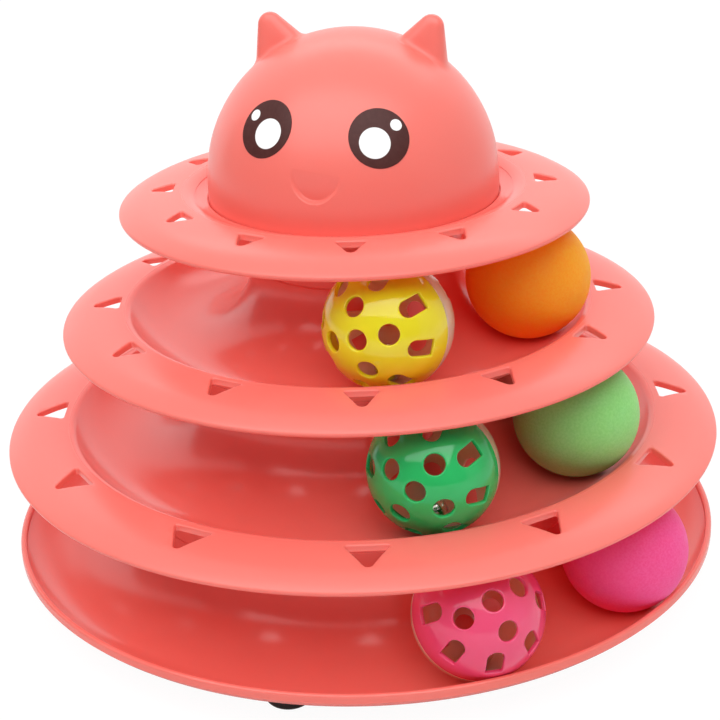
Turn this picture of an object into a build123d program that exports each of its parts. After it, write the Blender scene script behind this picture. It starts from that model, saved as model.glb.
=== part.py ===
import os
from math import atan, cos, degrees, radians, sin, tan

from build123d import *

os.makedirs("parts", exist_ok=True)

# Sizes are in millimetres and angles in degrees.
# The face looks along -Y. An azimuth counts from the face, positive towards +X.
overrun = 1.0

# Balls
ball_diameter = 40.0
ball_radius = ball_diameter / 2
ball_wall = 1.2
solid_ball_wall = 0.8
seat_gap = 0.3

# Tiers: a base tray, two tracks and a top plate, each a thin moulded shell
wall = 2.0
fit_gap = 0.2
foot_height = 5.0
foot_diameter = 15.0
foot_edge = 1.4
foot_count = 4
foot_inset = 1.6
foot_bed_share = 0.8
top_core_radius = 34.8
step_gap = 1.7
pitch_saving = 1.3

# Trough that a ball runs in, and the rolled flange outside it
floor_flat = 1.6
trough_gap = 2.6
neck_rise = 0.6
crest_tuck = 1.4
crest_rise = 8.9
crest_round = 3.0
flange_bow = 55.0
flange_turn = 13.0
rim_bow = 22.0
rim_turn = 24.0
rim_edge = 0.8

# Base tray, as wide as the rim above it
tray_inset = 0.4
tray_turn = 49.5
lip_width = 2.0
lip_height = 2.8
lip_edge = 0.9

# Snap joint between two tiers
spigot_height = 8.0
bead_height = 5.0
bead_radius = 0.7
bead_count = 4
bead_arc = 24.0

# Triangular peep holes round each flange
hole_count = 12
hole_corner = 0.7
hole_tip = 1.6
lower_hole = {"inset": 2.1, "half_width": 6.9, "length": 11.4, "turn": 14.5}
middle_hole = {"inset": 1.7, "half_width": 5.5, "length": 10.6, "turn": 14.5}
top_hole = {"inset": 2.8, "half_width": 4.8, "length": 8.8, "turn": 13.0}

# Head dome on the top plate
dome_overhang = 12.4
dome_wall = 2.0
dome_skirt = 6.0
plate_dip = 2.6
rebate_depth = 0.9
hook_count = 4
hook_width = 8.0
hook_thickness = 2.0
hook_length = 9.0
hook_reach = 3.6
barb_reach = 1.0
barb_height = 1.5

# Ears
ear_spread_angle = 28.6
ear_back_angle = 2.6
ear_height = 7.3
ear_lean = 22.5
ear_tip_radius = 4.0
ear_half_angle = 27.0
ear_root = 12.0

# Face
eye_azimuth = 25.8
eye_rise = 30.4
face_tilt = 1.1
eye_radius = 9.4
eye_film = 0.2
mouth_rise = 15.7
mouth_half_width = 7.4
mouth_height = 8.4
mouth_depth = 1.5
mouth_tilt = -4.0
mouth_rim = 2.0

# Lattice balls: one round hole at the pole, a ring of round holes, a ring of arched slots
round_hole = 6.3
round_ring_polar = 29.0
round_ring_count = 4
slot_width = 5.2
slot_length = 8.6
slot_polar = 57.5
slot_count = 8
tongue_height = 1.2
tongue_gap = 0.1

# Jingle bell inside each lattice ball
bell_diameter = 9.0
bell_wall = 0.5
bell_slot = 1.0
bell_loop_radius = 1.7
bell_loop_wire = 0.45
pellet_diameter = 2.4

# Where the balls stand: track number, azimuth on it, and the way that a lattice ball's pole and
# one of its ring holes point
lattice_balls = {
    "yellow": {
        "track_index": 2,
        "azimuth": 23.0,
        "pole_shares": (-0.25, -0.96, 0.12),
        "hole_shares": (0.24, -0.94, 0.23),
    },
    "green": {
        "track_index": 1,
        "azimuth": 29.3,
        "pole_shares": (-0.07, -0.99, 0.11),
        "hole_shares": (0.21, -0.83, 0.52),
    },
    "pink": {
        "track_index": 0,
        "azimuth": 32.9,
        "pole_shares": (0.34, -0.67, 0.66),
        "hole_shares": (-0.07, -0.89, 0.44),
    },
}
solid_balls = {
    "orange": {"track_index": 2, "azimuth": 84.4},
    "pale_green": {"track_index": 1, "azimuth": 72.4},
    "rose": {"track_index": 0, "azimuth": 67.4},
}

# Worked out from the sizes above
track_step = ball_radius + step_gap
tier_pitch = ball_diameter - pitch_saving
base_floor = foot_height + wall
trough_inner = ball_radius + trough_gap
crest_reach = ball_radius - crest_tuck
crest_turn = 2 * degrees(atan(crest_rise / crest_reach))
trough_outer = crest_reach / sin(radians(crest_turn)) - crest_round
seam_rise = trough_inner + neck_rise
top_track_radius = top_core_radius + trough_inner + floor_flat / 2
track_radii = [top_track_radius + (2 - level) * track_step for level in range(4)]
track_floors = [base_floor + level * tier_pitch for level in range(4)]
core_radii = [radius - floor_flat / 2 - trough_inner for radius in track_radii]
crest_radii = [radius + floor_flat / 2 + crest_reach for radius in track_radii]
rim_end = sin(radians(flange_turn + rim_turn)) - sin(radians(flange_turn))
flange_reach = flange_bow * sin(radians(flange_turn)) + rim_bow * rim_end
tray_start = track_radii[0] + floor_flat / 2
tray_edge = crest_radii[1] + flange_reach - tray_inset
tray_bow = (tray_edge - tray_start) / sin(radians(tray_turn)) - wall
plate_crest = track_floors[3] + crest_rise
dome_radius = core_radii[2] + dome_overhang
rebate_radius = dome_radius + fit_gap
seat_height = plate_crest - plate_dip - rebate_depth
dome_center = seat_height + dome_skirt


def compass(azimuth):
    return -90 + azimuth


def around(radius, azimuth, height):
    turn = radians(compass(azimuth))
    return Vector(radius * cos(turn), radius * sin(turn), height)


def upright(azimuth):
    # plane through the tower's axis, its X pointing outwards at this azimuth and its Y up
    outward = around(1, azimuth, 0)
    return Plane(origin=(0, 0, 0), x_dir=outward, z_dir=outward.cross(Vector(0, 0, 1)))


def flange_skin(crest, depth):
    bow = JernArc(crest, (1, 0), flange_bow - depth, -flange_turn)
    return JernArc(bow @ 1, bow % 1, rim_bow - depth, -rim_turn)


def trough_core(track, floor, depth):
    # flat floor of a trough and its inner half, up to the neck
    flat = Line((track + floor_flat / 2, floor - depth), (track - floor_flat / 2, floor - depth))
    hollow = JernArc(flat @ 1, (-1, 0), trough_inner + depth, -90)
    return Line(hollow @ 1, hollow @ 1 + Vector(0, neck_rise))


def track_skin(track, floor, depth):
    # one face of a tier's wall, this far under its upper face
    neck = trough_core(track, floor, depth)
    rise = JernArc((track + floor_flat / 2, floor - depth), (1, 0), trough_outer + depth, crest_turn)
    crest = JernArc(rise @ 1, rise % 1, crest_round - depth, -crest_turn)
    return neck @ 1, flange_skin(crest @ 1, depth) @ 1


def track_wall(level):
    with BuildSketch(Plane.XZ) as section:
        with BuildLine():
            upper_neck, upper_rim = track_skin(track_radii[level], track_floors[level], 0)
            lower_neck, lower_rim = track_skin(track_radii[level], track_floors[level], wall)
            Line(upper_neck, lower_neck)
            Line(upper_rim, lower_rim)
        make_face()
        fillet(section.vertices().sort_by(Axis.X)[-2:], rim_edge)
    revolve(section.sketch, axis=Axis.Z)


def spigot(level):
    # stepped ring on a neck that the tier above slips over, with its snap beads
    outer = core_radii[level]
    shoulder = track_floors[level] + seam_rise
    plug = outer - wall - fit_gap
    with BuildSketch(Plane.XZ) as step:
        with BuildLine():
            Polyline(
                (plug - wall, shoulder - wall),
                (outer, shoulder - wall),
                (outer, shoulder),
                (plug, shoulder),
                (plug, shoulder + spigot_height),
                (plug - wall, shoulder + spigot_height),
                close=True,
            )
        make_face()
    revolve(step.sketch, axis=Axis.Z)
    for number in range(bead_count):
        with BuildSketch(upright(number * 360 / bead_count)) as bead:
            with Locations((plug, shoulder + bead_height)):
                Circle(bead_radius - fit_gap)
        revolve(bead.sketch, axis=Axis.Z, revolution_arc=bead_arc)


def skirt(level, top):
    # tube under a tier that slips over the neck below it, grooved inside for the snap beads
    outer = core_radii[level]
    foot = track_floors[level] + seam_rise
    with BuildSketch(Plane.XZ) as tube:
        with BuildLine():
            Polyline((outer - wall, foot), (outer, foot), (outer, top), (outer - wall, top), close=True)
        make_face()
        with Locations((outer - wall, foot + bead_height)):
            Circle(bead_radius, mode=Mode.SUBTRACT)
    revolve(tube.sketch, axis=Axis.Z)


def peep_holes(level, hole):
    near = crest_radii[level] + hole["inset"]
    with BuildSketch() as triangle:
        Polygon((0, -hole["half_width"]), (hole["length"], 0), (0, hole["half_width"]), align=None)
        fillet(triangle.vertices().sort_by(Axis.X)[-1], hole_tip)
        fillet(triangle.vertices().sort_by(Axis.X)[:2], hole_corner)
    with BuildSketch(Plane.XY.offset(track_floors[level] + crest_rise + overrun)) as ring:
        with PolarLocations(near, hole_count, start_angle=compass(hole["turn"])):
            add(triangle.sketch)
    extrude(ring.sketch, amount=-(crest_rise + overrun), mode=Mode.SUBTRACT)


# Base tray
with BuildPart() as base_tray:
    with BuildSketch(Plane.XZ) as tray_section:
        with BuildLine():
            necks = []
            lips = []
            for depth in (0, wall):
                necks.append(trough_core(track_radii[0], base_floor, depth) @ 1)
                bow = JernArc((tray_start, base_floor - depth), (1, 0), tray_bow + depth, tray_turn)
                lips.append(bow @ 1)
            Line(*necks)
            Line(*lips)
        make_face()
        with Locations((tray_edge - lip_width / 2, lips[0].Y)):
            RectangleRounded(lip_width, lip_height, lip_edge)
    revolve(axis=Axis.Z)
    spigot(0)

# Rubber feet under the tray's track, shaped to its underside
with BuildPart() as rubber_feet:
    with BuildSketch():
        with PolarLocations(track_radii[0] - foot_inset, foot_count, start_angle=compass(0)):
            Circle(foot_diameter / 2)
    extrude(amount=foot_height + foot_bed_share * wall)
    fillet(rubber_feet.edges().group_by(Axis.Z)[0], foot_edge)
    add(base_tray.part, mode=Mode.SUBTRACT)

# Lower track
with BuildPart() as lower_track:
    track_wall(1)
    spigot(1)
    skirt(0, track_floors[1] - wall / 2)
    peep_holes(1, lower_hole)

# Middle track
with BuildPart() as middle_track:
    track_wall(2)
    spigot(2)
    skirt(1, track_floors[2] - wall / 2)
    peep_holes(2, middle_hole)

# Top plate, with a rebate that the head drops into and slots for its hooks
with BuildPart() as top_plate:
    dip_run = (crest_radii[3] - rebate_radius) / 2
    dip_turn = 2 * degrees(atan(plate_dip / 2 / dip_run))
    dip_bow = dip_run / sin(radians(dip_turn))
    with BuildSketch(Plane.XZ) as plate_section:
        with BuildLine():
            ends = []
            for depth in (0, wall):
                crest = Vector(crest_radii[3], plate_crest - depth)
                rim = flange_skin(crest, depth)
                fall = JernArc(crest, (-1, 0), dip_bow - depth, dip_turn)
                level_out = JernArc(fall @ 1, fall % 1, dip_bow + depth, -dip_turn)
                ends.append((level_out @ 1, rim @ 1))
            Line(ends[0][0], ends[1][0])
            Line(ends[0][1], ends[1][1])
        make_face()
        fillet(plate_section.vertices().sort_by(Axis.X)[-2:], rim_edge)
    revolve(axis=Axis.Z)
    ledge_inner = core_radii[2] - wall
    with BuildSketch(Plane.XY.offset(seat_height - wall)):
        Circle(rebate_radius + wall)
        Circle(ledge_inner, mode=Mode.SUBTRACT)
    extrude(amount=wall)
    skirt(2, seat_height - wall / 2)
    peep_holes(3, top_hole)
    slot_outer = dome_radius - dome_wall + fit_gap
    slot_inner = slot_outer - hook_thickness - 2 * fit_gap
    slot_middle = (slot_outer + slot_inner) / 2
    with BuildSketch(Plane.XY.offset(seat_height + overrun)):
        with PolarLocations(slot_middle, hook_count, start_angle=compass(180 / hook_count)):
            Rectangle(slot_outer - slot_inner, hook_width + 2 * fit_gap)
    extrude(amount=-(wall + 2 * overrun), mode=Mode.SUBTRACT)


# Head dome with its ears, a smiling mouth pressed in, and snap hooks under its edge
def ear_plane(side):
    # on the ear's tip ball, its Y along the ear's axis
    lean = radians(ear_lean)
    axis = Vector(side * sin(lean), 0, cos(lean))
    spread = radians(ear_spread_angle)
    back = radians(ear_back_angle)
    outward = Vector(side * sin(spread) * cos(back), sin(back), cos(spread) * cos(back))
    tip = Vector(0, 0, dome_center) + outward * (dome_radius + ear_height)
    return Plane(origin=tip, x_dir=Vector(0, 1, 0), z_dir=Vector(0, 1, 0).cross(axis))


def ear_horn(side, tip_radius, root):
    # round horn: a ball tip running into a cone
    flank = radians(ear_half_angle)
    touch = Vector(tip_radius * cos(flank), tip_radius * sin(flank))
    foot = touch + Vector(root * tan(flank), -root)
    plane = ear_plane(side)
    with BuildSketch(plane) as flank_section:
        with BuildLine():
            ThreePointArc(
                (0, tip_radius),
                (tip_radius * sin(radians(45)), tip_radius * cos(radians(45))),
                touch,
            )
            Polyline(touch, foot, (0, foot.Y), (0, tip_radius))
        make_face()
    return flank_section.sketch, Axis(plane.origin, plane.y_dir)


def face_plane(azimuth, rise, tilt=0):
    # tangent to the dome at this azimuth and rise, its Y up the face
    outward = around(cos(radians(rise)), azimuth, sin(radians(rise)))
    sideways = Vector(0, 0, 1).cross(outward)
    origin = Vector(0, 0, dome_center) + outward * dome_radius
    return Plane(origin=origin, x_dir=sideways, z_dir=outward).rotated((0, 0, tilt))


mouth_plane = face_plane(0, mouth_rise, mouth_tilt)


def mouth_shape(grow):
    # half ellipse with its straight edge on top
    with BuildSketch(mouth_plane) as half_moon:
        Ellipse(mouth_half_width + grow, mouth_height + grow)
        with Locations((0, mouth_height + 2 * grow)):
            Rectangle(2 * (mouth_half_width + 2 * grow), 2 * (mouth_height + grow), mode=Mode.SUBTRACT)
    return half_moon.sketch


with BuildPart() as mouth_cut:
    extrude(mouth_shape(0), amount=mouth_height, both=True)
    with Locations((0, 0, dome_center)):
        Sphere(dome_radius - mouth_depth, mode=Mode.SUBTRACT)

with BuildPart() as mouth_backing:
    extrude(mouth_shape(mouth_rim), amount=-mouth_height)
    with Locations((0, 0, dome_center)):
        Sphere(dome_radius - dome_wall / 2, mode=Mode.INTERSECT)
        Sphere(dome_radius - dome_wall - mouth_depth, mode=Mode.SUBTRACT)

with BuildPart() as dome_head:
    with Locations((0, 0, dome_center)):
        Sphere(dome_radius, arc_size1=0, align=None)
    with BuildSketch(Plane.XY.offset(seat_height)):
        Circle(dome_radius)
    extrude(amount=dome_skirt)
    for side in (-1, 1):
        horn, axis = ear_horn(side, ear_tip_radius, ear_root)
        revolve(horn, axis=axis)
    with Locations((0, 0, dome_center)):
        Sphere(dome_radius - dome_wall, arc_size1=0, align=None, mode=Mode.SUBTRACT)
    with BuildSketch(Plane.XY.offset(seat_height)):
        Circle(dome_radius - dome_wall)
    extrude(amount=dome_skirt, mode=Mode.SUBTRACT)
    for side in (-1, 1):
        hollow, axis = ear_horn(side, ear_tip_radius - dome_wall, ear_root)
        revolve(hollow, axis=axis, mode=Mode.SUBTRACT)
    add(mouth_backing.part)
    add(mouth_cut.part, mode=Mode.SUBTRACT)
    hook_outer = dome_radius - dome_wall
    for number in range(hook_count):
        with BuildSketch(upright((number + 1 / 2) * 360 / hook_count)):
            with BuildLine():
                Polyline(
                    (hook_outer + fit_gap, seat_height + hook_length - hook_reach),
                    (hook_outer + fit_gap, seat_height + fit_gap),
                    (hook_outer, seat_height),
                    (hook_outer, seat_height - wall - fit_gap),
                    (hook_outer + barb_reach, seat_height - wall - fit_gap),
                    (hook_outer, seat_height - wall - fit_gap - barb_height),
                    (hook_outer - hook_thickness, seat_height - wall - fit_gap - barb_height),
                    (hook_outer - hook_thickness, seat_height + hook_length - hook_reach),
                    close=True,
                )
            make_face()
        extrude(amount=hook_width / 2, both=True)

# Printed eye stickers that lie on the dome
eyes = {}
for name, side in (("left", -1), ("right", 1)):
    with BuildPart() as eye:
        with BuildSketch(face_plane(side * eye_azimuth, eye_rise - side * face_tilt)):
            Circle(eye_radius)
        extrude(amount=eye_radius, both=True)
        with Locations((0, 0, dome_center)):
            Sphere(dome_radius + eye_film, mode=Mode.INTERSECT)
            Sphere(dome_radius, mode=Mode.SUBTRACT)
    eyes[name] = eye.part


# Lattice ball, half by half, each with its pole up
def hole_plane(polar, azimuth):
    # through the ball's middle, its Z out through the hole and its X down the meridian
    lean = radians(polar)
    turn = radians(azimuth)
    outward = Vector(sin(lean) * cos(turn), sin(lean) * sin(turn), cos(lean))
    sideways = Vector(-sin(turn), cos(turn), 0)
    return Plane(origin=(0, 0, 0), x_dir=sideways.cross(outward), z_dir=outward)


def lattice_holes():
    ring_turns = [number * 360 / round_ring_count for number in range(round_ring_count)]
    for polar, azimuth in [(0, 0)] + [(round_ring_polar, turn) for turn in ring_turns]:
        with BuildSketch(hole_plane(polar, azimuth)) as disc:
            Circle(round_hole / 2)
        extrude(disc.sketch, amount=ball_diameter, mode=Mode.SUBTRACT)
    for number in range(slot_count):
        with BuildSketch(hole_plane(slot_polar, (number + 1 / 2) * 360 / slot_count)) as arch:
            with Locations(((slot_width - slot_length) / 2, 0)):
                Circle(slot_width / 2)
            with Locations((slot_width / 4, 0)):
                Rectangle(slot_length - slot_width / 2, slot_width)
        extrude(arch.sketch, amount=ball_diameter, mode=Mode.SUBTRACT)


ball_inner = ball_radius - ball_wall
tongue_radius = ball_inner + (ball_wall - tongue_gap) / 2

with BuildPart() as coloured_half:
    Sphere(ball_radius, arc_size1=0, align=None)
    with BuildSketch():
        Circle(tongue_radius)
    extrude(amount=-tongue_height)
    Sphere(ball_inner, mode=Mode.SUBTRACT)
    lattice_holes()

with BuildPart() as pale_half:
    Sphere(ball_radius, arc_size1=0, align=None)
    Sphere(ball_inner, mode=Mode.SUBTRACT)
    with BuildSketch():
        Circle(tongue_radius + tongue_gap)
    extrude(amount=tongue_height + tongue_gap, mode=Mode.SUBTRACT)
    lattice_holes()

# Jingle bell: a thin ball slit crosswise from below, with a wire loop on top
with BuildPart() as bell:
    Sphere(bell_diameter / 2)
    Sphere(bell_diameter / 2 - bell_wall, mode=Mode.SUBTRACT)
    with BuildSketch(Plane.XY.offset(-bell_wall)):
        Rectangle(bell_slot, 2 * bell_diameter)
        Rectangle(2 * bell_diameter, bell_slot)
    extrude(amount=-bell_diameter, mode=Mode.SUBTRACT)
    with Locations(Location((0, 0, bell_diameter / 2 + bell_loop_radius - bell_loop_wire / 2), (90, 0, 0))):
        Torus(bell_loop_radius, bell_loop_wire)

with BuildPart() as pellet:
    Sphere(pellet_diameter / 2)

with BuildPart() as solid_ball:
    Sphere(ball_radius)
    Sphere(ball_radius - solid_ball_wall, mode=Mode.SUBTRACT)

bell_drop = ball_inner - bell_diameter / 2 - seat_gap
pellet_drop = bell_drop + bell_diameter / 2 - bell_wall - pellet_diameter / 2 - seat_gap


def ball_seat(place):
    level = place["track_index"]
    return around(track_radii[level], place["azimuth"], track_floors[level] + seat_gap + ball_radius)


pieces = {
    "base_tray": base_tray.part,
    "rubber_feet": rubber_feet.part,
    "lower_track": lower_track.part,
    "middle_track": middle_track.part,
    "top_plate": top_plate.part,
    "dome_head": dome_head.part,
    "left_eye_sticker": eyes["left"],
    "right_eye_sticker": eyes["right"],
}
for colour, place in lattice_balls.items():
    seat = ball_seat(place)
    pole = Vector(*place["pole_shares"])
    near_hole = Vector(*place["hole_shares"])
    front = Plane(origin=seat, x_dir=near_hole - pole * near_hole.dot(pole), z_dir=pole)
    behind = Plane(origin=seat, x_dir=front.x_dir, z_dir=-front.z_dir)
    pieces[f"{colour}_lattice_half"] = coloured_half.part.moved(front.location)
    pieces[f"{colour}_pale_half"] = pale_half.part.moved(behind.location)
    pieces[f"{colour}_bell"] = bell.part.moved(Location(seat - Vector(0, 0, bell_drop)))
    pieces[f"{colour}_bell_pellet"] = pellet.part.moved(Location(seat - Vector(0, 0, pellet_drop)))
for colour, place in solid_balls.items():
    pieces[f"{colour}_ball"] = solid_ball.part.moved(Location(ball_seat(place)))

for name, piece in pieces.items():
    piece.label = name
    export_step(piece, f"parts/{name}.step")
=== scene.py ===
from math import acos, asin, atan, cos, degrees, hypot, pi, radians, sin, sqrt, tan

import bpy
from mathutils import Matrix, Vector


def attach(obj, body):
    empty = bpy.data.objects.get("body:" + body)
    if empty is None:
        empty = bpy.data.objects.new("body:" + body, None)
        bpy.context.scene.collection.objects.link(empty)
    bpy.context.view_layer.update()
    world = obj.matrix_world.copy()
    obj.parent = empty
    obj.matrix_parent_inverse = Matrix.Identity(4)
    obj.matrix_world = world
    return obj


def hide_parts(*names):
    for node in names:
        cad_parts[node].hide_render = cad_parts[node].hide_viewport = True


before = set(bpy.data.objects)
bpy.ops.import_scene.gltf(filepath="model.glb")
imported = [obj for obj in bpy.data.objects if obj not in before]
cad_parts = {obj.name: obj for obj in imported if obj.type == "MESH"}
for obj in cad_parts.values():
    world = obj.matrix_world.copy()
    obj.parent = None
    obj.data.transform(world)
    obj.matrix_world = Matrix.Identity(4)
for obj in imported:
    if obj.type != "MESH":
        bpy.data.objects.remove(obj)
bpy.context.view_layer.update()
mm = 0.001
mergeGap = 0.004
print("frame loaded:", len(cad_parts), "nodes")


# Small tools that every piece uses

def clearSelection():
    if bpy.context.object and bpy.context.object.mode != "OBJECT":
        bpy.ops.object.mode_set(mode="OBJECT")
    bpy.ops.object.select_all(action="DESELECT")


def pick(obj):
    clearSelection()
    obj.select_set(True)
    bpy.context.view_layer.objects.active = obj


def drawLine(points):
    # one vertex of a plane, extruded from point to point in the XZ plane, in millimetres
    clearSelection()
    bpy.ops.mesh.primitive_plane_add(size=mm, enter_editmode=True)
    bpy.ops.mesh.merge(type="CENTER")
    here = Vector((0, 0, 0))
    for number, (x, z) in enumerate(points):
        there = Vector((x, 0, z)) * mm
        if number == 0:
            bpy.ops.transform.translate(value=there)
        else:
            bpy.ops.mesh.extrude_vertices_move(TRANSFORM_OT_translate={"value": there - here})
        here = there


def spinLine(points, steps):
    # turns a profile about the Z axis; the poles and the seam are merged
    drawLine(points)
    bpy.ops.mesh.select_all(action="SELECT")
    bpy.ops.mesh.spin(steps=steps, angle=2 * pi, center=(0, 0, 0), axis=(0, 0, 1))
    bpy.ops.mesh.select_all(action="SELECT")
    bpy.ops.mesh.remove_doubles(threshold=mergeGap * mm)
    bpy.ops.mesh.normals_make_consistent(inside=False)
    bpy.ops.object.mode_set(mode="OBJECT")
    return bpy.context.object


def applyModifier(obj, kind, **settings):
    pick(obj)
    modifier = obj.modifiers.new(kind.lower(), kind)
    for name, value in settings.items():
        setattr(modifier, name, value)
    bpy.ops.object.modifier_apply(modifier=modifier.name)


def cutterFrom(ringSets):
    # closed plugs as one scratch mesh, each a stack of anticlockwise rings from its outer end down
    points, faces = [], []
    for rings in ringSets:
        count = len(rings[0])
        first = len(points)
        for ring in rings:
            points += [Vector(p) * mm for p in ring]
        for level in range(len(rings) - 1):
            low = first + level * count
            for a in range(count):
                b = (a + 1) % count
                faces.append((low + a, low + count + a, low + count + b, low + b))
        last = first + (len(rings) - 1) * count
        faces.append(tuple(range(first, first + count)))
        faces.append(tuple(range(last + count - 1, last - 1, -1)))
    mesh = bpy.data.meshes.new("cutter")
    mesh.from_pydata(points, [], faces)
    cutter = bpy.data.objects.new("cutter", mesh)
    bpy.context.scene.collection.objects.link(cutter)
    return cutter


def cutHoles(obj, ringSets):
    cutter = cutterFrom(ringSets)
    applyModifier(obj, "BOOLEAN", operation="DIFFERENCE", solver="EXACT", object=cutter)
    bpy.data.objects.remove(cutter)


def flare(lip, depth):
    # (height over the surface, growth of the outline) down a hole with a rounded lip
    turns = [72, 54, 36, 18, 0]
    rounded = [(-lip * (1 - sin(radians(t))), lip * (1 - cos(radians(t)))) for t in turns]
    over = 0.12
    widest = rounded[0][1] + over * tan(radians(turns[0]))
    return [(depth, widest), (over, widest)] + rounded + [(-depth, 0)]


def walk(path, radius, turn, steps):
    # carries a path of (x, z, heading) on along an arc; a positive turn is anticlockwise
    x, z, heading = path[-1]
    side = 1 if turn > 0 else -1
    for step in range(1, steps + 1):
        now = heading + turn * step / steps
        across = side * radius * (sin(radians(now)) - sin(radians(heading)))
        up = -side * radius * (cos(radians(now)) - cos(radians(heading)))
        path.append((x + across, z + up, now))


def go(path, length):
    x, z, heading = path[-1]
    path.append((x + length * cos(radians(heading)), z + length * sin(radians(heading)), heading))


def around(radius, azimuth, height):
    # azimuth 0 is where the face looks, positive towards +X
    turn = radians(azimuth - 90)
    return Vector((radius * cos(turn), radius * sin(turn), height))


def finishPiece(obj, name, materials, body, nodes, angle=40):
    pick(obj)
    obj.name = name
    obj.data.name = name
    bpy.ops.object.shade_smooth_by_angle(angle=radians(angle))
    obj.data.materials.clear()
    for material in materials:
        obj.data.materials.append(material)
    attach(obj, body)
    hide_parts(*nodes)


# Materials

def linear(hexCode):
    channels = [int(hexCode[i:i + 2], 16) / 255 for i in (1, 3, 5)]
    return [c / 12.92 if c <= 0.04045 else ((c + 0.055) / 1.055) ** 2.4 for c in channels] + [1]


def addNode(tree, kind, settings=None, links=None):
    node = tree.nodes.new(kind)
    for name, value in (settings or {}).items():
        if isinstance(name, int) or name in node.inputs:
            node.inputs[name].default_value = value
        else:
            setattr(node, name, value)
    for name, source in (links or {}).items():
        tree.links.new(source, node.inputs[name])
    return node


def startMaterial(name, settings):
    material = bpy.data.materials.new(name)
    material.use_nodes = True
    tree = material.node_tree
    tree.nodes.clear()
    shader = addNode(tree, "ShaderNodeBsdfPrincipled", settings)
    addNode(tree, "ShaderNodeOutputMaterial", links={"Surface": shader.outputs[0]})
    place = addNode(tree, "ShaderNodeTexCoord").outputs["Object"]
    return material, tree, shader, place


def addNoise(tree, place, size, detail):
    settings = {"Scale": 1 / (size * mm), "Detail": detail}
    return addNode(tree, "ShaderNodeTexNoise", settings, {"Vector": place}).outputs["Fac"]


def shadeTones(tree, place, shader, size, dark, light, detail=3):
    # slow drift between two close tones of one colour
    ramp = addNode(tree, "ShaderNodeValToRGB", links={"Fac": addNoise(tree, place, size, detail)})
    ramp.color_ramp.elements[0].position = 0.35
    ramp.color_ramp.elements[1].position = 0.65
    ramp.color_ramp.elements[0].color = linear(dark)
    ramp.color_ramp.elements[1].color = linear(light)
    tree.links.new(ramp.outputs["Color"], shader.inputs["Base Color"])


def shadeGloss(tree, place, shader, size, low, high, detail=4):
    # roughness that drifts between two close values
    settings = {"From Min": 0.3, "From Max": 0.7, "To Min": low, "To Max": high}
    spread = addNode(tree, "ShaderNodeMapRange", settings, {"Value": addNoise(tree, place, size, detail)})
    tree.links.new(spread.outputs["Result"], shader.inputs["Roughness"])


def shadeGrain(tree, place, shader, size, height, strength):
    settings = {"Strength": strength, "Distance": height * mm}
    bump = addNode(tree, "ShaderNodeBump", settings, {"Height": addNoise(tree, place, size, 2)})
    tree.links.new(bump.outputs["Normal"], shader.inputs["Normal"])


def makeCoral(name, low, high):
    # moulded ABS: a smooth skin with a faint ripple from the mould, light sinks a little way into thin edges
    material, tree, shader, place = startMaterial(name, {
        "IOR": 1.5, "Subsurface Weight": 0.1, "Subsurface Scale": 1.0 * mm,
        "Subsurface Radius": (2.4, 0.7, 0.5)})
    shadeTones(tree, place, shader, 90, "#F6776C", "#F87A6F", 1)
    shadeGloss(tree, place, shader, 30, low, high, 1)
    shadeGrain(tree, place, shader, 14, 0.02, 0.2)
    return material


def makeBallShell(name, dark, light):
    # glossy moulded polypropylene, slightly see-through at its thin edges
    material, tree, shader, place = startMaterial(name, {
        "IOR": 1.49, "Subsurface Weight": 0.5, "Subsurface Scale": 1.0 * mm, "Subsurface Radius": (3, 3, 3)})
    shadeTones(tree, place, shader, 22, dark, light)
    shadeGloss(tree, place, shader, 6, 0.07, 0.12)
    shadeGrain(tree, place, shader, 9, 0.012, 0.2)
    return material


def makeMilky():
    # uncoloured polypropylene: milky, lets light and its neighbours' colour through; its peach tint is
    # painted coral light on top of that
    material, tree, shader, place = startMaterial("milky_polypropylene_moulded", {
        "IOR": 1.49, "Transmission Weight": 0.1, "Subsurface Weight": 0.9, "Subsurface Scale": 1.0 * mm,
        "Subsurface Radius": (8, 6, 5)})
    # peach tones: painted coral light shining through the milky shell, not the plastic's own colour
    shadeTones(tree, place, shader, 22, "#F4C49E", "#FAD2B2")
    shadeGloss(tree, place, shader, 6, 0.18, 0.26)
    return material


def makeMatteBall(name, dark, light, glow):
    # foamed plastic: dull skin with a fine sandy grain, drawn at 0.45 mm so that it shows
    # light spreads inside it
    material, tree, shader, place = startMaterial(name, {
        "IOR": 1.45, "Specular IOR Level": 0.3, "Subsurface Weight": 0.8, "Subsurface Scale": 1.0 * mm,
        "Subsurface Radius": glow})
    shadeTones(tree, place, shader, 0.7, dark, light, 2)
    shadeGloss(tree, place, shader, 2, 0.55, 0.7)
    shadeGrain(tree, place, shader, 0.45, 0.03, 0.22)
    return material


def makeRubber():
    # moulded rubber, black, with a soft sheen
    material, tree, shader, place = startMaterial("black_rubber_moulded", {"IOR": 1.5})
    shadeTones(tree, place, shader, 4, "#0C0708", "#161011")
    shadeGloss(tree, place, shader, 2, 0.28, 0.4)
    shadeGrain(tree, place, shader, 0.8, 0.02, 0.3)
    return material


def makeBellMetal():
    # nickel-plated steel, bright, with fine scuffs from the bell's rattling
    material, tree, shader, place = startMaterial("nickel_plated_steel", {"Metallic": 1.0})
    shadeTones(tree, place, shader, 2, "#C9C3B8", "#E4DFD6")
    shadeGloss(tree, place, shader, 1, 0.12, 0.3)
    return material


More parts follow.
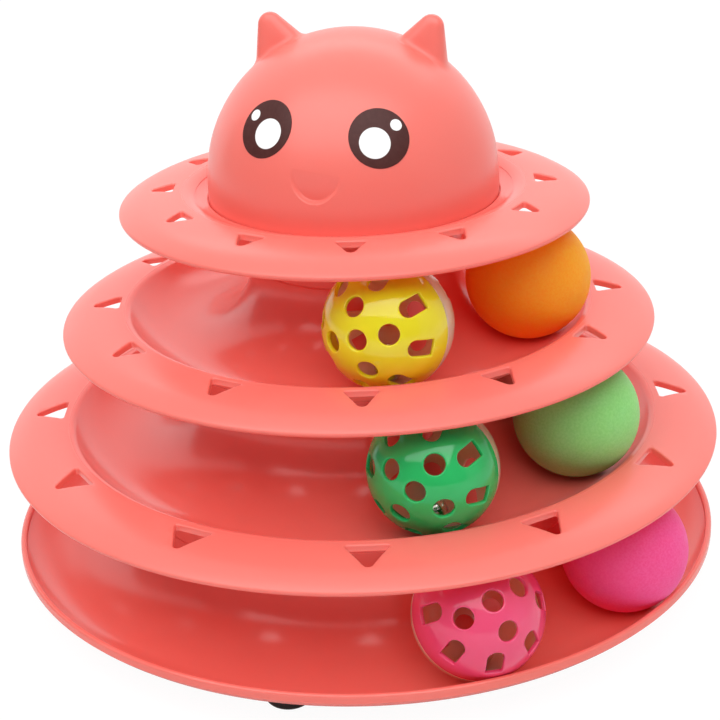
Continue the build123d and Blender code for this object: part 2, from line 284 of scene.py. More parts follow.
coral = makeCoral("coral_abs_gloss_moulded", 0.18, 0.21)
satinCoral = makeCoral("coral_abs_satin_moulded", 0.3, 0.33)
rubber = makeRubber()
milky = makeMilky()
bellMetal = makeBellMetal()
ballShells = {
    "yellow": makeBallShell("yellow_polypropylene_moulded", "#E6D818", "#ECE028"),
    "green": makeBallShell("green_polypropylene_moulded", "#20B45C", "#2CBE68"),
    "pink": makeBallShell("pink_polypropylene_moulded", "#F24874", "#F65680"),
}
matteBalls = {
    "orange": makeMatteBall("orange_foamed_plastic", "#FF9E18", "#FFA826", (12, 6, 1)),
    "pale_green": makeMatteBall("pale_green_foamed_plastic", "#8ED67C", "#98DC86", (8, 8, 3)),
    "rose": makeMatteBall("rose_foamed_plastic", "#FA5294", "#FD5E9E", (9, 3, 5)),
}
print("materials made")


# Tiers: thin moulded shells turned about the tower's axis, in millimetres

tier = {
    "wall": 2.0,
    "fitGap": 0.2,
    "trackRadius": 101.6,
    "trackStep": 21.7,
    "floor": 7.0,
    "pitch": 38.7,
    "floorFlat": 1.6,
    "troughInner": 22.6,
    "neckRise": 0.6,
    "crestReach": 18.6,
    "crestRise": 8.9,
    "crestRound": 3.0,
    "flangeBow": 55.0,
    "flangeTurn": 13.0,
    "rimBow": 22.0,
    "rimTurn": 24.0,
    "rimEdge": 0.8,
    "rimTrim": 0.05,
    "spigotHeight": 8.0,
    "seamEdge": 0.35,
    "trayReach": 15.64,
    "trayRise": 7.21,
    "lipWidth": 2.0,
    "lipHeight": 2.8,
    "lipEdge": 0.9,
    "turnSteps": 240,
}
wall = tier["wall"]
outerTurn = 2 * degrees(atan(tier["crestRise"] / tier["crestReach"]))
outerBow = tier["crestReach"] / sin(radians(outerTurn)) - tier["crestRound"]
seamRise = tier["troughInner"] + tier["neckRise"]


def trackRadius(level):
    return tier["trackRadius"] - level * tier["trackStep"]


def trackFloor(level):
    return tier["floor"] + level * tier["pitch"]


def coreRadius(level):
    return trackRadius(level) - tier["floorFlat"] / 2 - tier["troughInner"]


def crestRadius(level):
    return trackRadius(level) + tier["floorFlat"] / 2 + tier["crestReach"]


def addFlange(path):
    # from a crest out to the rolled rim, round its edge and back underneath
    edge = tier["rimEdge"]
    lastTurn = tier["rimTurn"] - degrees((edge + tier["rimTrim"]) / tier["rimBow"])
    walk(path, tier["flangeBow"], -tier["flangeTurn"], 9)
    walk(path, tier["rimBow"], -lastTurn, 10)
    walk(path, edge, -90, 6)
    go(path, wall - 2 * edge)
    walk(path, edge, -90, 6)
    walk(path, tier["rimBow"] - wall, lastTurn, 8)
    walk(path, tier["flangeBow"] - wall, tier["flangeTurn"], 6)


def addNeck(path, level, start):
    # underside of a trough's inner half, from this far off its middle, then the spigot on the neck
    bow = tier["troughInner"] + wall
    core = coreRadius(level)
    shoulder = trackFloor(level) + seamRise
    plug = core - wall - tier["fitGap"]
    first = degrees(asin(start / bow))
    last = degrees(acos((wall - tier["neckRise"]) / bow))
    height = trackFloor(level) + tier["troughInner"] - bow * cos(radians(first))
    path.append((trackRadius(level) - tier["floorFlat"] / 2 - start, height, 180 - first))
    walk(path, bow, first - last, 20)
    path += [
        (plug - wall, shoulder - wall, 0),
        (plug - wall, shoulder + tier["spigotHeight"], 0),
        (plug, shoulder + tier["spigotHeight"], 0),
        (plug, shoulder, 0),
        (core - tier["seamEdge"], shoulder, 0),
        path[0],
    ]


def addTrough(path):
    # from the neck's edge down the inner half and over the flat floor
    go(path, tier["neckRise"] - tier["seamEdge"])
    walk(path, tier["troughInner"], 90, 30)
    go(path, tier["floorFlat"])


def startNeck(level):
    return [(coreRadius(level), trackFloor(level) + seamRise - tier["seamEdge"], -90)]


def addSkirt(path, level, top):
    # tube that slips over the spigot of the tier below
    below = coreRadius(level - 1)
    foot = trackFloor(level - 1) + seamRise
    path += [
        (below, top, 0),
        (below, foot + tier["seamEdge"], 0),
        (below - tier["seamEdge"], foot, 0),
        (below - wall, foot, 0),
    ]


def trayProfile():
    path = startNeck(0)
    addTrough(path)
    turn = 2 * degrees(atan(tier["trayRise"] / tier["trayReach"]))
    bow = tier["trayReach"] / sin(radians(turn))
    bowStart = path[-1][0]
    lipReach = (bow + wall) * sin(radians(turn))
    lipTop = trackFloor(0) + tier["trayRise"] + tier["lipHeight"] / 2
    lipFoot = trackFloor(0) - wall + (bow + wall) * (1 - cos(radians(turn)))
    walk(path, bow, degrees(asin((lipReach - tier["lipWidth"]) / bow)), 16)
    path.append((bowStart + lipReach - tier["lipWidth"], lipTop - tier["lipEdge"], 90))
    walk(path, tier["lipEdge"], -90, 6)
    go(path, tier["lipWidth"] - 2 * tier["lipEdge"])
    walk(path, tier["lipEdge"], -90, 6)
    path.append((bowStart + lipReach, lipFoot, 180 + turn))
    walk(path, bow + wall, -turn, 14)
    addNeck(path, 0, 0)
    return path


def trackProfile(level):
    path = startNeck(level)
    addTrough(path)
    walk(path, outerBow, outerTurn, 18)
    walk(path, tier["crestRound"], -outerTurn, 10)
    addFlange(path)
    walk(path, tier["crestRound"] - wall, outerTurn, 6)
    walk(path, outerBow + wall, -outerTurn, 12)
    addSkirt(path, level, trackFloor(level) - wall)
    addNeck(path, level, trackRadius(level) - tier["floorFlat"] / 2 - coreRadius(level - 1) + wall)
    return path


plate = {
    "dip": 2.6,
    "rebate": 0.9,
    "rebateEdge": 0.4,
    "dome": 47.2,
}
plateCrest = trackFloor(3) + tier["crestRise"]
seatHeight = plateCrest - plate["dip"] - plate["rebate"]
rebateRadius = plate["dome"] + tier["fitGap"]


def plateProfile():
    ledge = coreRadius(2) - wall
    run = (crestRadius(3) - rebateRadius) / 2
    turn = 2 * degrees(atan(plate["dip"] / 2 / run))
    bow = run / sin(radians(turn))
    path = [(ledge, seatHeight, 0), (rebateRadius, seatHeight, 90)]
    go(path, plate["rebate"] - plate["rebateEdge"])
    walk(path, plate["rebateEdge"], -90, 5)
    path[-1] = path[-1][:2] + (0,)
    walk(path, bow, turn, 10)
    path[-1] = (rebateRadius + run, plateCrest - plate["dip"] / 2, turn)
    walk(path, bow, -turn, 10)
    addFlange(path)
    walk(path, bow - wall, turn, 6)
    path += [(rebateRadius + wall, seatHeight - wall / 2, 0), (rebateRadius + wall, seatHeight - wall, 0)]
    addSkirt(path, 3, seatHeight - wall)
    path.append(path[0])
    return path


# Peep holes: triangles with rounded lips, cut through a flange

peepHoles = {
    1: {"inset": 2.1, "halfWidth": 6.9, "length": 11.4, "turn": 14.5},
    2: {"inset": 1.7, "halfWidth": 5.5, "length": 10.6, "turn": 14.5},
    3: {"inset": 2.8, "halfWidth": 4.8, "length": 8.8, "turn": 13.0},
}
peep = {
    "count": 12,
    "corner": 0.7,
    "tip": 1.6,
    "lip": 0.55,
    "cornerSteps": 7,
    "sideSteps": 6,
    "cutDepth": 5.2,
}


def roundedOutline(corners, grow):
    # corners as (x, y, radius), anticlockwise; every corner becomes an arc, grown outwards
    outline = []
    steps = peep["cornerSteps"]
    for number, (x, y, radius) in enumerate(corners):
        here = Vector((x, y))
        before = (Vector(corners[number - 1][:2]) - here).normalized()
        after = (Vector(corners[(number + 1) % len(corners)][:2]) - here).normalized()
        half = before.angle(after) / 2
        center = here + (before + after).normalized() * (radius / sin(half))
        start = Vector((before.y, -before.x)) * -1
        sweep = pi - 2 * half
        for step in range(steps + 1):
            turn = sweep * step / steps
            arm = Matrix.Rotation(turn, 2) @ start
            outline.append(center + arm * (radius + grow))
    filled = []
    for number, point in enumerate(outline):
        filled.append(point)
        if number % (steps + 1) == steps:
            ahead = outline[(number + 1) % len(outline)]
            filled += [point.lerp(ahead, n / peep["sideSteps"]) for n in range(1, peep["sideSteps"])]
    return filled


def flangeHeight(level, radius):
    # height of a flange's upper face at this radius
    out = radius - crestRadius(level)
    crest = trackFloor(level) + tier["crestRise"]
    reach = tier["flangeBow"] * sin(radians(tier["flangeTurn"]))
    if out <= 0:
        return crest
    if out <= reach:
        return crest - tier["flangeBow"] + sqrt(tier["flangeBow"] ** 2 - out ** 2)
    turn = radians(tier["flangeTurn"])
    rimCrest = crest - tier["flangeBow"] * (1 - cos(turn)) - tier["rimBow"] * cos(turn)
    rimOut = out - reach + tier["rimBow"] * sin(turn)
    return rimCrest + sqrt(tier["rimBow"] ** 2 - rimOut ** 2)


def peepRings(level):
    hole = peepHoles[level]
    near = crestRadius(level) + hole["inset"]
    corners = [
        (0, -hole["halfWidth"], peep["corner"]),
        (hole["length"], 0, peep["tip"]),
        (0, hole["halfWidth"], peep["corner"]),
    ]
    ringSets = []
    for number in range(peep["count"]):
        turn = radians(hole["turn"] - 90 + number * 360 / peep["count"])
        rings = []
        for height, grow in flare(peep["lip"], peep["cutDepth"]):
            ring = []
            for p in roundedOutline(corners, grow):
                x, y = near + p.x, p.y
                spot = Vector((x * cos(turn) - y * sin(turn), x * sin(turn) + y * cos(turn), 0))
                spot.z = flangeHeight(level, hypot(x, y)) + height
                ring.append(spot)
            rings.append(ring)
        ringSets.append(rings)
    return ringSets


def makeTier(name, node, path, level=None):
    shell = spinLine([(x, z) for x, z, heading in path], tier["turnSteps"])
    if level:
        cutHoles(shell, peepRings(level))
    finishes = [coral, satinCoral] if level else [coral]
    finishPiece(shell, name, finishes, "tower", [node], angle=35)
    if level:
        # the trough is polished for the balls, the flange outside it is satin
        for polygon in shell.data.polygons:
            out = polygon.center.xy.length / mm
            polygon.material_index = 1 if out > crestRadius(level) else 0


makeTier("tray_moulding", "base_tray", trayProfile())
makeTier("lower_track_moulding", "lower_track", trackProfile(1), 1)
makeTier("middle_track_moulding", "middle_track", trackProfile(2), 2)
makeTier("top_plate_moulding", "top_plate", plateProfile(), 3)
print("tiers made")


# Head dome: a turned dome, its ears and mouth shaped into the skin

head = {
    "skirt": 6.0,
    "wall": 2.0,
    "footEdge": 0.6,
    "blendRise": 24.0,
    "blendSteps": 24,
    "earSide": 26.1,
    "earBack": 2.5,
    "earRise": 47.8,
    "earLean": 22.5,
    "earTip": 4.0,
    "earHalfAngle": 27.0,
    "earFront": 3.0,
    "earFrontLean": 12.0,
    "earFrontBlend": 3.0,
    "earCrease": 1.6,
    "earReach": 15.0,
    "skinBelow": 2.0,
    "skinAbove": 18.0,
    "skinTries": 26,
    "mouthRise": 17.4,
    "mouthHalfWidth": 8.0,
    "mouthHeight": 9.7,
    "mouthDepth": 2.2,
    "mouthTilt": -8.0,
    "mouthEdge": 0.8,
    "mouthEase": 0.05,
    "mouthBeside": 9.5,
    "mouthBelow": 11.5,
    "mouthAbove": 1.5,
    "mouthReach": 18.0,
    "turnSteps": 240,
    "riseSteps": 60,
}
domeRadius = plate["dome"]
domeCenter = Vector((0, 0, seatHeight + head["skirt"]))


def facePlane(azimuth, rise, tilt=0):
    # origin on the dome, then sideways, up and outward directions
    outward = around(cos(radians(rise)), azimuth, sin(radians(rise)))
    sideways = Vector((0, 0, 1)).cross(outward).normalized()
    upward = outward.cross(sideways)
    turn = Matrix.Rotation(radians(tilt), 3, outward)
    return domeCenter + outward * domeRadius, turn @ sideways, turn @ upward, outward


def softMin(a, b, reach):
    mix = max(reach - abs(a - b), 0) / reach
    return min(a, b) - mix * mix * reach / 4


def earDistance(p):
    # round horn with a flattened front, mirrored to both sides of the head
    q = Vector((abs(p.x), p.y, p.z)) - Vector((head["earSide"], head["earBack"], head["earRise"]))
    lean = radians(head["earLean"])
    axis = Vector((sin(lean), 0, cos(lean)))
    along = q.dot(axis)
    off = (q - axis * along).length
    half = radians(head["earHalfAngle"])
    if along > off * tan(half):
        horn = q.length - head["earTip"]
    else:
        horn = off * cos(half) + along * sin(half) - head["earTip"]
    tip = radians(head["earFrontLean"])
    front = q.dot(Vector((0, -cos(tip), sin(tip)))) - head["earFront"]
    return -softMin(-horn, -front, head["earFrontBlend"])


def smoothStep(value):
    t = min(max(value, 0), 1)
    return t * t * (3 - 2 * t)


mouthOrigin, mouthSide, mouthUp, mouthOut = facePlane(0, head["mouthRise"], head["mouthTilt"])


def mouthSink(p):
    arm = p - (mouthOrigin - domeCenter)
    across, up = arm.dot(mouthSide), arm.dot(mouthUp)
    if p.dot(mouthOut) < 0:
        return 0
    half, high = head["mouthHalfWidth"], head["mouthHeight"]
    edge = (1 - hypot(across / half, up / high)) * min(half, high)
    # the floor of the mouth slopes in from its top edge, and a steep lip ends it below
    share, ease = min(max(-up / high, 0), 1), head["mouthEase"]
    slope = share * share / (2 * ease) if share < ease else share - ease / 2
    return head["mouthDepth"] * smoothStep(edge / head["mouthEdge"]) * slope


def skinRadius(direction):
    # where a ray from the dome's centre leaves the dome and its ears, found by halving
    low, high = domeRadius - head["skinBelow"], domeRadius + head["skinAbove"]
    for attempt in range(head["skinTries"]):
        middle = (low + high) / 2
        p = direction * middle
        if softMin(p.length - domeRadius, earDistance(p), head["earCrease"]) > 0:
            high = middle
        else:
            low = middle
    return low


def refine(obj, test, cuts):
    pick(obj)
    bpy.ops.object.mode_set(mode="EDIT")
    bpy.ops.mesh.select_mode(type="FACE")
    bpy.ops.mesh.select_all(action="DESELECT")
    bpy.ops.object.mode_set(mode="OBJECT")
    for polygon in obj.data.polygons:
        polygon.select = test(polygon.center / mm - domeCenter)
    bpy.ops.object.mode_set(mode="EDIT")
    bpy.ops.mesh.subdivide(number_cuts=cuts, quadcorner="INNERVERT")
    bpy.ops.mesh.select_mode(type="VERT")
    bpy.ops.object.mode_set(mode="OBJECT")


def nearEar(p):
    root = Vector((head["earSide"], head["earBack"], head["earRise"])).normalized() * domeRadius
    return (Vector((abs(p.x), p.y, p.z)) - root).length < head["earReach"]


def nearMouth(p):
    arm = p - (mouthOrigin - domeCenter)
    beside = abs(arm.dot(mouthSide)) < head["mouthBeside"]
    upright = -head["mouthBelow"] < arm.dot(mouthUp) < head["mouthAbove"]
    return beside and upright and arm.length < head["mouthReach"]


def blendRadius(share):
    # radius of the dome's lowest part, from the foot (0) to where the plain sphere begins (1)
    # the fifth power lets place, slope and bend agree at both ends
    rise = radians(head["blendRise"])
    high = head["skirt"] + domeRadius * sin(rise) - head["footEdge"]
    step = domeRadius * cos(rise) - domeRadius
    slope = -tan(rise) * high
    bend = -high ** 2 / (domeRadius * cos(rise) ** 3) / 2
    third = (10 * step - 4 * slope + bend) * share ** 3
    fourth = (-15 * step + 7 * slope - 2 * bend) * share ** 4
    fifth = (6 * step - 3 * slope + bend) * share ** 5
    return domeRadius + third + fourth + fifth


def makeHead():
    profile = []
    for step in range(head["riseSteps"] + 1):
        rise = radians(90 - (90 - head["blendRise"]) * step / head["riseSteps"])
        profile.append((domeRadius * cos(rise), domeCenter.z + domeRadius * sin(rise)))
    top, low = profile[-1][1], seatHeight + head["footEdge"]
    for step in range(1, head["blendSteps"]):
        share = 1 - step / head["blendSteps"]
        profile.append((blendRadius(share), low + (top - low) * share))
    foot = [(domeRadius, low, -90)]
    walk(foot, head["footEdge"], -90, 5)
    profile += [(x, z) for x, z, heading in foot]
    skin = spinLine(profile, head["turnSteps"])
    refine(skin, nearEar, cuts=2)
    refine(skin, nearMouth, cuts=3)
    for vertex in skin.data.vertices:
        p = vertex.co / mm - domeCenter
        direction = p.normalized()
        if nearEar(p):
            vertex.co = (domeCenter + direction * skinRadius(direction)) * mm
        elif nearMouth(p):
            vertex.co = (domeCenter + p - direction * mouthSink(direction * domeRadius)) * mm
    applyModifier(skin, "SOLIDIFY", thickness=head["wall"] * mm, offset=-1, use_even_offset=False)
    finishPiece(skin, "head_moulding", [satinCoral], "tower", ["dome_head"], angle=50)


makeHead()
print("head made")


# Eyes: printed film on the dome, a dark disc with two white glints

eye = {
    "azimuth": 25.8,
    "rise": 30.4,
    "faceTilt": 1.1,
    "radius": 9.4,
    "film": 0.2,
    "edge": 0.1,
    "rings": 14,
    "turnSteps": 96,
    "glint": 4.75,
    "glintIn": 1.6,
    "glintDown": 1.5,
    "spark": 1.8,
    "sparkOut": 5.6,
    "sparkUp": 3.5,
    "glintSoft": 0.06,
    "inkGrain": 1.5,
}


def makeEyePrint(name, glints):
    # printed vinyl film, glossy; each glint is where the skin passes through a small ball
    material, tree, shader, place = startMaterial(name, {
        "IOR": 1.5, "Roughness": 0.35, "Specular IOR Level": 0.2})
    ink = addNode(tree, "ShaderNodeValToRGB", links={"Fac": addNoise(tree, place, eye["inkGrain"], 2)})
    ink.color_ramp.elements[0].color = linear("#46211F")
    ink.color_ramp.elements[1].color = linear("#552E2B")
    color = ink.outputs["Color"]
    for center, radius in glints:
        reach = addNode(tree, "ShaderNodeVectorMath", {"operation": "DISTANCE", 1: center * mm}, {0: place})
        near, far = (radius - eye["glintSoft"]) * mm, (radius + eye["glintSoft"]) * mm
        settings = {"From Min": near, "From Max": far, "To Min": 1.0, "To Max": 0.0}
        inside = addNode(tree, "ShaderNodeMapRange", settings, {"Value": reach.outputs["Value"]})
        mix = addNode(tree, "ShaderNodeMix", {"data_type": "RGBA", 7: linear("#FFFFFF")},
                      {0: inside.outputs["Result"], 6: color})
        color = mix.outputs[2]
    tree.links.new(color, shader.inputs["Base Color"])
    return material


def makeEye(name, side):
    origin, sideways, upward, outward = facePlane(side * eye["azimuth"], eye["rise"] - side * eye["faceTilt"])

    def onDome(across, up, height):
        spot = origin + sideways * across + upward * up - domeCenter
        return domeCenter + spot.normalized() * (domeRadius + height)

    flatRadius = eye["radius"] - eye["edge"]
    profile = [(flatRadius * step / eye["rings"], eye["film"]) for step in range(eye["rings"] + 1)]
    profile += [(eye["radius"], eye["film"] - eye["edge"]), (eye["radius"], 0), (0, 0)]
    film = spinLine(profile, eye["turnSteps"])
    for vertex in film.data.vertices:
        flat = vertex.co / mm
        vertex.co = onDome(flat.x, flat.y, flat.z) * mm
    glints = [
        (onDome(-side * eye["glintIn"], -eye["glintDown"], eye["film"]), eye["glint"]),
        (onDome(side * eye["sparkOut"], eye["sparkUp"], eye["film"]), eye["spark"]),
    ]
    ink = makeEyePrint(name + "_vinyl_print", glints)
    finishPiece(film, name + "_film", [ink], "tower", [name + "_eye_sticker"])


makeEye("left", -1)
makeEye("right", 1)
print("eyes made")


# Balls

ballSizes = {
    "radius": 20.0,
    "seatGap": 0.3,
    "wall": 1.2,
    "seamEdge": 0.25,
    "roundHole": 6.3,
    "roundPolar": 29.0,
    "roundCount": 4,
    "slotWidth": 5.2,
    "slotLength": 8.6,
    "slotPolar": 57.5,
    "slotCount": 8,
    "slotCorner": 0.35,
    "slotArchShare": 0.98,
    "lip": 0.4,
    "cutDepth": 2.4,
    "holeSteps": 40,
    "outerSteps": 40,
    "innerSteps": 28,
    "turnSteps": 128,
    "plainSegments": 96,
    "plainRings": 64,
    "weldWidth": 0.3,
    "weldShare": 0.998,
    "weldPole": (0.2, 0.9, 0.3),
}
latticeBalls = {
    "yellow": {"track": 2, "azimuth": 23.0, "pole": (-0.25, -0.96, 0.12), "hole": (0.24, -0.94, 0.23)},
    "green": {"track": 1, "azimuth": 29.3, "pole": (-0.07, -0.99, 0.11), "hole": (0.21, -0.83, 0.52)},
    "pink": {"track": 0, "azimuth": 32.9, "pole": (0.34, -0.67, 0.66), "hole": (-0.07, -0.89, 0.44)},
}
plainBalls = {
    "orange": {"track": 2, "azimuth": 84.4},
    "pale_green": {"track": 1, "azimuth": 72.4},
    "rose": {"track": 0, "azimuth": 67.4},
}


def ballSeat(place):
    height = trackFloor(place["track"]) + ballSizes["seatGap"] + ballSizes["radius"]
    return around(trackRadius(place["track"]), place["azimuth"], height)


def holeOutline(kind, grow):
    # round hole, or an arched slot whose square end lies away from the pole
    if kind == "round":
        radius = ballSizes["roundHole"] / 2 + grow
        turns = [2 * pi * step / ballSizes["holeSteps"] for step in range(ballSizes["holeSteps"])]
        return [Vector((radius * cos(turn), radius * sin(turn))) for turn in turns]
    half = ballSizes["slotWidth"] / 2
    near, far = -ballSizes["slotLength"] / 2, ballSizes["slotLength"] / 2
    arch, corner = half * ballSizes["slotArchShare"], ballSizes["slotCorner"]
    corners = [(near, -half, arch), (far, -half, corner), (far, half, corner), (near, half, arch)]
    return roundedOutline(corners, grow)


def latticeRings():
    places = [("round", 0, 0)]
    for number in range(ballSizes["roundCount"]):
        places.append(("round", ballSizes["roundPolar"], number * 360 / ballSizes["roundCount"]))
    for number in range(ballSizes["slotCount"]):
        places.append(("slot", ballSizes["slotPolar"], (number + 0.5) * 360 / ballSizes["slotCount"]))
    ringSets = []
    for kind, polar, azimuth in places:
        turn = Matrix.Rotation(radians(azimuth), 3, "Z") @ Matrix.Rotation(radians(polar), 3, "Y")
        rings = []
        for height, grow in flare(ballSizes["lip"], ballSizes["cutDepth"]):
            reach = ballSizes["radius"] + height
            outline = holeOutline(kind, grow)
            rings.append([turn @ Vector((p.x, p.y, sqrt(reach ** 2 - p.length_squared))) for p in outline])
        ringSets.append(rings)
    return ringSets


def arcPoints(radius, first, last, steps):
    # points of a circle in the XZ plane, turned from the pole
    turns = [first + (last - first) * step / steps for step in range(steps + 1)]
    return [(radius * sin(turn), radius * cos(turn)) for turn in turns]


def makeHalf():
    # half a ball's shell with its pole up
    radius, edge = ballSizes["radius"], ballSizes["seamEdge"]
    inner = radius - ballSizes["wall"]
    outerTurns = pi / 2 - asin(edge / radius)
    profile = arcPoints(radius, 0, outerTurns, ballSizes["outerSteps"])
    profile.append((radius - edge, 0))
    profile += arcPoints(inner, pi / 2, 0, ballSizes["innerSteps"])
    half = spinLine(profile, ballSizes["turnSteps"])
    cutHoles(half, latticeRings())
    return half


def copyPiece(obj, matrix):
    copy = obj.copy()
    copy.data = obj.data.copy()
    bpy.context.scene.collection.objects.link(copy)
    copy.data.transform(matrix)
    return copy


def standOn(seat, forward, outward):
    # matrix that stands a piece on a point, its Z outward and its X as near forward as can be
    up = Vector(outward).normalized()
    ahead = (Vector(forward) - up * up.dot(Vector(forward))).normalized()
    turn = Matrix((ahead, up.cross(ahead), up)).transposed().to_4x4()
    return Matrix.Translation(seat * mm) @ turn


bell = {
    "radius": 4.5,
    "wall": 0.5,
    "slot": 1.0,
    "loopRadius": 1.7,
    "loopWire": 0.45,
    "pellet": 1.2,
    "pelletFlatShare": 0.97,
    "band": 0.25,
    "outerSteps": 32,
    "innerSteps": 20,
    "turnSteps": 48,
}


def makeBell():
    # jingle bell: a pressed ball with a raised band, a crossed slit below and a wire loop on top
    radius, inner = bell["radius"], bell["radius"] - bell["wall"]
    profile = arcPoints(radius - bell["band"], 0, pi, bell["outerSteps"])
    banded = arcPoints(radius, 0, pi, bell["outerSteps"])
    middle = bell["outerSteps"] // 2
    profile[middle - 1:middle + 2] = banded[middle - 1:middle + 2]
    profile += arcPoints(inner, pi, 0, bell["innerSteps"])
    profile.append(profile[0])
    ball = spinLine(profile, bell["turnSteps"])
    half, deep = bell["slot"] / 2, 2 * bell["radius"]
    for x, y in ((half, deep), (deep, half)):
        corners = [(-x, -y), (x, -y), (x, y), (-x, y)]
        cutHoles(ball, [[[(a, b, z) for a, b in corners] for z in (-bell["wall"], -deep)]])
    clearSelection()
    height = (radius + bell["loopRadius"] - bell["loopWire"]) * mm
    bpy.ops.mesh.primitive_torus_add(major_radius=bell["loopRadius"] * mm, minor_radius=bell["loopWire"] * mm,
                                     major_segments=32, minor_segments=12, location=(0, 0, height),
                                     rotation=(pi / 2, 0, 0))
    loop = bpy.context.object
    bpy.ops.object.transform_apply(location=True, rotation=True, scale=True)
    pick(ball)
    loop.select_set(True)
    bpy.ops.object.join()
    return ball


def makePellet():
    # steel shot with a flat left by its rolling
    clearSelection()
    radius = bell["pellet"] * mm
    bpy.ops.mesh.primitive_uv_sphere_add(segments=24, ring_count=16, radius=radius, enter_editmode=True)
    flat = (0, 0, bell["pelletFlatShare"] * radius)
    bpy.ops.mesh.bisect(plane_co=flat, plane_no=(0, 0, 1), clear_outer=True, use_fill=True)
    bpy.ops.object.mode_set(mode="OBJECT")
    return bpy.context.object


def makePlainBall():
    # moulded ball with the faint weld line of its two halves
    clearSelection()
    segments, rings = ballSizes["plainSegments"], ballSizes["plainRings"]
    radius = ballSizes["radius"] * mm
    bpy.ops.mesh.primitive_uv_sphere_add(segments=segments, ring_count=rings, radius=radius)
    ball = bpy.context.object
    bpy.ops.object.mode_set(mode="EDIT")
    bpy.ops.mesh.select_all(action="DESELECT")
    bpy.ops.object.mode_set(mode="OBJECT")
    for edge in ball.data.edges:
        edge.select = all(abs(ball.data.vertices[v].co.z) < mergeGap * mm for v in edge.vertices)
    bpy.ops.object.mode_set(mode="EDIT")
    bpy.ops.mesh.bevel(offset=ballSizes["weldWidth"] * mm, segments=2)
    bpy.ops.mesh.select_all(action="DESELECT")
    bpy.ops.object.mode_set(mode="OBJECT")
    for vertex in ball.data.vertices:
        if abs(vertex.co.z) < mergeGap * mm:
            vertex.co *= ballSizes["weldShare"]
    return ball


bellDrop = ballSizes["radius"] - ballSizes["wall"] - bell["radius"] - ballSizes["seatGap"]
pelletDrop = bellDrop + bell["radius"] - bell["wall"] - bell["pellet"] - ballSizes["seatGap"]
patterns = {"half": makeHalf(), "bell": makeBell(), "pellet": makePellet(), "plain": makePlainBall()}
for color, place in latticeBalls.items():
    seat = ballSeat(place)
    body = color + "_ball"
    pole, hole = Vector(place["pole"]), Vector(place["hole"])
    front = copyPiece(patterns["half"], standOn(seat, hole, pole))
    finishPiece(front, color + "_lattice_shell", [ballShells[color]], body,
                [color + "_lattice_half"], angle=35)
    behind = copyPiece(patterns["half"], standOn(seat, hole, -pole))
    finishPiece(behind, color + "_pale_shell", [milky], body,
                [color + "_pale_half"], angle=35)
    jingle = copyPiece(patterns["bell"], Matrix.Translation((seat - Vector((0, 0, bellDrop))) * mm))
    finishPiece(jingle, color + "_jingle", [bellMetal], color + "_bell", [color + "_bell"])
    shot = copyPiece(patterns["pellet"], Matrix.Translation((seat - Vector((0, 0, pelletDrop))) * mm))
    finishPiece(shot, color + "_shot", [bellMetal], color + "_bell", [color + "_bell_pellet"])
for color, place in plainBalls.items():
    node = color + "_ball"
    ball = copyPiece(patterns["plain"], standOn(ballSeat(place), (0, 0, 1), ballSizes["weldPole"]))
    finishPiece(ball, color + "_foam_ball", [matteBalls[color]], node, [node])
for pattern in patterns.values():
    bpy.data.objects.remove(pattern)
print("balls made")


# Rubber feet under the tray

feet = {
    "radius": 7.5,
    "height": 5.0,
    "edge": 2.6,
    "inset": 1.6,
    "count": 4,
    "bed": 0.6,
    "edgeSteps": 8,
    "turnSteps": 48,
}


def makeFeet():
    pads = []
    for number in range(feet["count"]):
        path = [(feet["radius"], feet["height"] + feet["bed"], -90)]
        go(path, feet["height"] + feet["bed"] - feet["edge"])
        walk(path, feet["edge"], -90, feet["edgeSteps"])
        outline = [(0, feet["height"])] + [(x, z) for x, z, heading in path] + [(0, 0)]
        pad = spinLine(outline, feet["turnSteps"])
        spot = around(trackRadius(0) - feet["inset"], number * 360 / feet["count"], 0)
        pad.data.transform(Matrix.Translation(spot * mm))
        pads.append(pad)
    pick(pads[0])
    for pad in pads[1:]:
        pad.select_set(True)
    bpy.ops.object.join()
    finishPiece(pads[0], "foot_pads", [rubber], "tower", ["rubber_feet"])


makeFeet()
print("feet made")


# Floor, light and camera

studio = {
    "floorSize": 6.0,
    "floorWhite": 0.92,
    "floorGlow": 1.04,
    "paper": 0.86,
    "mirrorWhite": 0.15,
    "worldLight": 0.12,
    "diffuseBounces": 12,
    "lamps": {
        "tent_roof": {
            "place": (0, 0.25, 1.5), "face": (0, 0, -1),
            "wide": 2.6, "high": 2.4, "power": 14.0,
        },
        "back_strip": {
            "place": (0, 1.25, 1.4), "face": (0, -1.25, -1.3),
            "wide": 2.2, "high": 0.4, "power": 5.0,
        },
        "tent_back": {
            "place": (0, 1.45, 0.75), "face": (0, -1, 0),
            "wide": 2.6, "high": 1.5, "power": 9.8,
        },
        "tent_back_left": {
            "place": (-1.3, 0.95, 0.75), "face": (1, 0, 0),
            "wide": 1.0, "high": 1.5, "power": 4.0,
        },
        "tent_front_left": {
            "place": (-1.3, -0.05, 1.1), "face": (1, 0, 0),
            "wide": 1.0, "high": 0.8, "power": 1.4,
        },
        "tent_back_right": {
            "place": (1.3, 0.95, 0.75), "face": (-1, 0, 0),
            "wide": 1.0, "high": 1.5, "power": 2.2,
        },
        "tent_front_right": {
            "place": (1.3, -0.05, 0.75), "face": (-1, 0, 0),
            "wide": 1.0, "high": 1.5, "power": 1.8,
        },
        "front_softbox": {
            "place": (0.0, -0.72, 1.26), "face": (0.0, 0.72, -1.19),
            "wide": 2.2, "high": 1.2, "power": 19.2,
        },
    },
}
view = {
    "azimuth": 14.4,
    "rise": 23.05,
    "distance": 561.3,
    "target": 69.1,
    "roll": -2.06,
    "lens": 82.59,
    "sensor": 36.0,
}


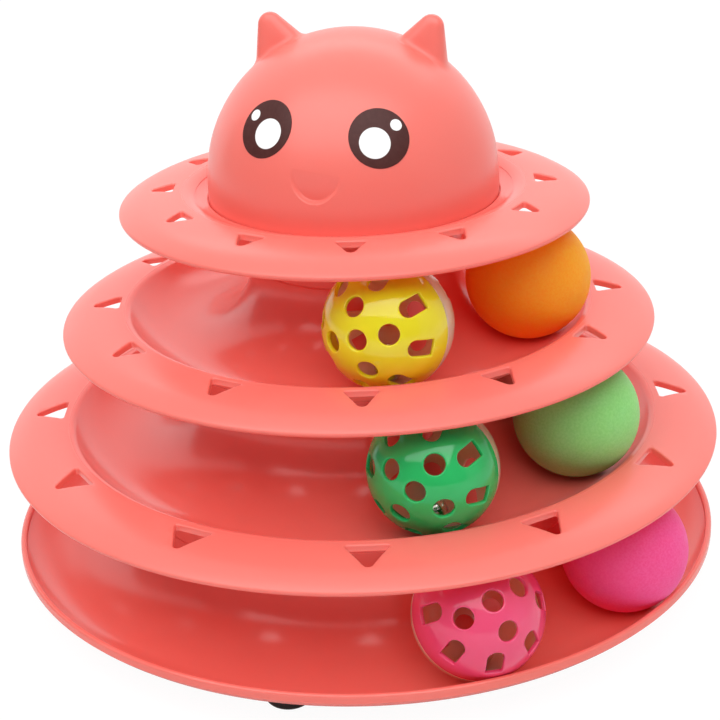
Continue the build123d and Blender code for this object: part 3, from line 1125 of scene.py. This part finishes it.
def rayMask(tree):
    # 1 for what the camera sees, straight or through the plastic, and less for what the gloss mirrors
    path = addNode(tree, "ShaderNodeLightPath")
    mirrored = addNode(tree, "ShaderNodeMath", {"operation": "MULTIPLY", 1: studio["mirrorWhite"]},
                       {0: path.outputs["Is Glossy Ray"]})
    seen = mirrored.outputs[0]
    for kind in ("Is Camera Ray", "Is Transmission Ray"):
        brighter = addNode(tree, "ShaderNodeMath", {"operation": "MAXIMUM"}, {0: seen, 1: path.outputs[kind]})
        seen = brighter.outputs[0]
    return seen


def makeFloor():
    clearSelection()
    bpy.ops.mesh.primitive_plane_add(size=studio["floorSize"])
    floor = bpy.context.object
    floor.name = "studio_floor"
    material = bpy.data.materials.new("white_studio_paper")
    material.use_nodes = True
    tree = material.node_tree
    tree.nodes.clear()
    # white for the camera, pale paper for the light that falls on it
    gray = studio["paper"]
    paper = addNode(tree, "ShaderNodeBsdfDiffuse", {"Color": (gray, gray, gray, 1)})
    white = addNode(tree, "ShaderNodeEmission", {"Color": (1, 1, 1, 1), "Strength": studio["floorGlow"]})
    share = addNode(tree, "ShaderNodeMath", {"operation": "MULTIPLY", 1: studio["floorWhite"]},
                    {0: rayMask(tree)})
    mix = addNode(tree, "ShaderNodeMixShader",
                  links={"Fac": share.outputs[0], 1: paper.outputs[0], 2: white.outputs[0]})
    addNode(tree, "ShaderNodeOutputMaterial", links={"Surface": mix.outputs[0]})
    floor.data.materials.append(material)


def makeWorld():
    world = bpy.data.worlds.new("white_room")
    bpy.context.scene.world = world
    world.use_nodes = True
    tree = world.node_tree
    tree.nodes.clear()
    seen = addNode(tree, "ShaderNodeBackground", {"Color": (1, 1, 1, 1), "Strength": 1.0})
    light = addNode(tree, "ShaderNodeBackground", {"Color": (1, 1, 1, 1), "Strength": studio["worldLight"]})
    mix = addNode(tree, "ShaderNodeMixShader",
                  links={"Fac": rayMask(tree), 1: light.outputs[0], 2: seen.outputs[0]})
    addNode(tree, "ShaderNodeOutputWorld", links={"Surface": mix.outputs[0]})


def addLamp(name, place, face, wide, high, power):
    clearSelection()
    bpy.ops.object.light_add(type="AREA", location=place)
    lamp = bpy.context.object
    lamp.name = name
    lamp.data.shape = "RECTANGLE"
    lamp.data.size = wide
    lamp.data.size_y = high
    lamp.data.energy = power
    lamp.rotation_euler = Vector(face).to_track_quat("-Z", "Y").to_euler()


def makeCamera():
    clearSelection()
    bpy.ops.object.camera_add()
    camera = bpy.context.object
    camera.data.lens = view["lens"]
    camera.data.sensor_width = view["sensor"]
    camera.matrix_world = (
        Matrix.Translation((0, 0, view["target"] * mm))
        @ Matrix.Rotation(radians(view["azimuth"]), 4, "Z")
        @ Matrix.Rotation(radians(90 - view["rise"]), 4, "X")
        @ Matrix.Rotation(radians(view["roll"]), 4, "Z")
        @ Matrix.Translation((0, 0, view["distance"] * mm))
    )
    bpy.context.scene.camera = camera


makeFloor()
makeWorld()
for name, lamp in studio["lamps"].items():
    addLamp(name, **lamp)
makeCamera()
bpy.context.scene.view_settings.view_transform = "Standard"
# light between the deep coral tiers keeps its red
bpy.context.scene.cycles.diffuse_bounces = studio["diffuseBounces"]
print("studio made")
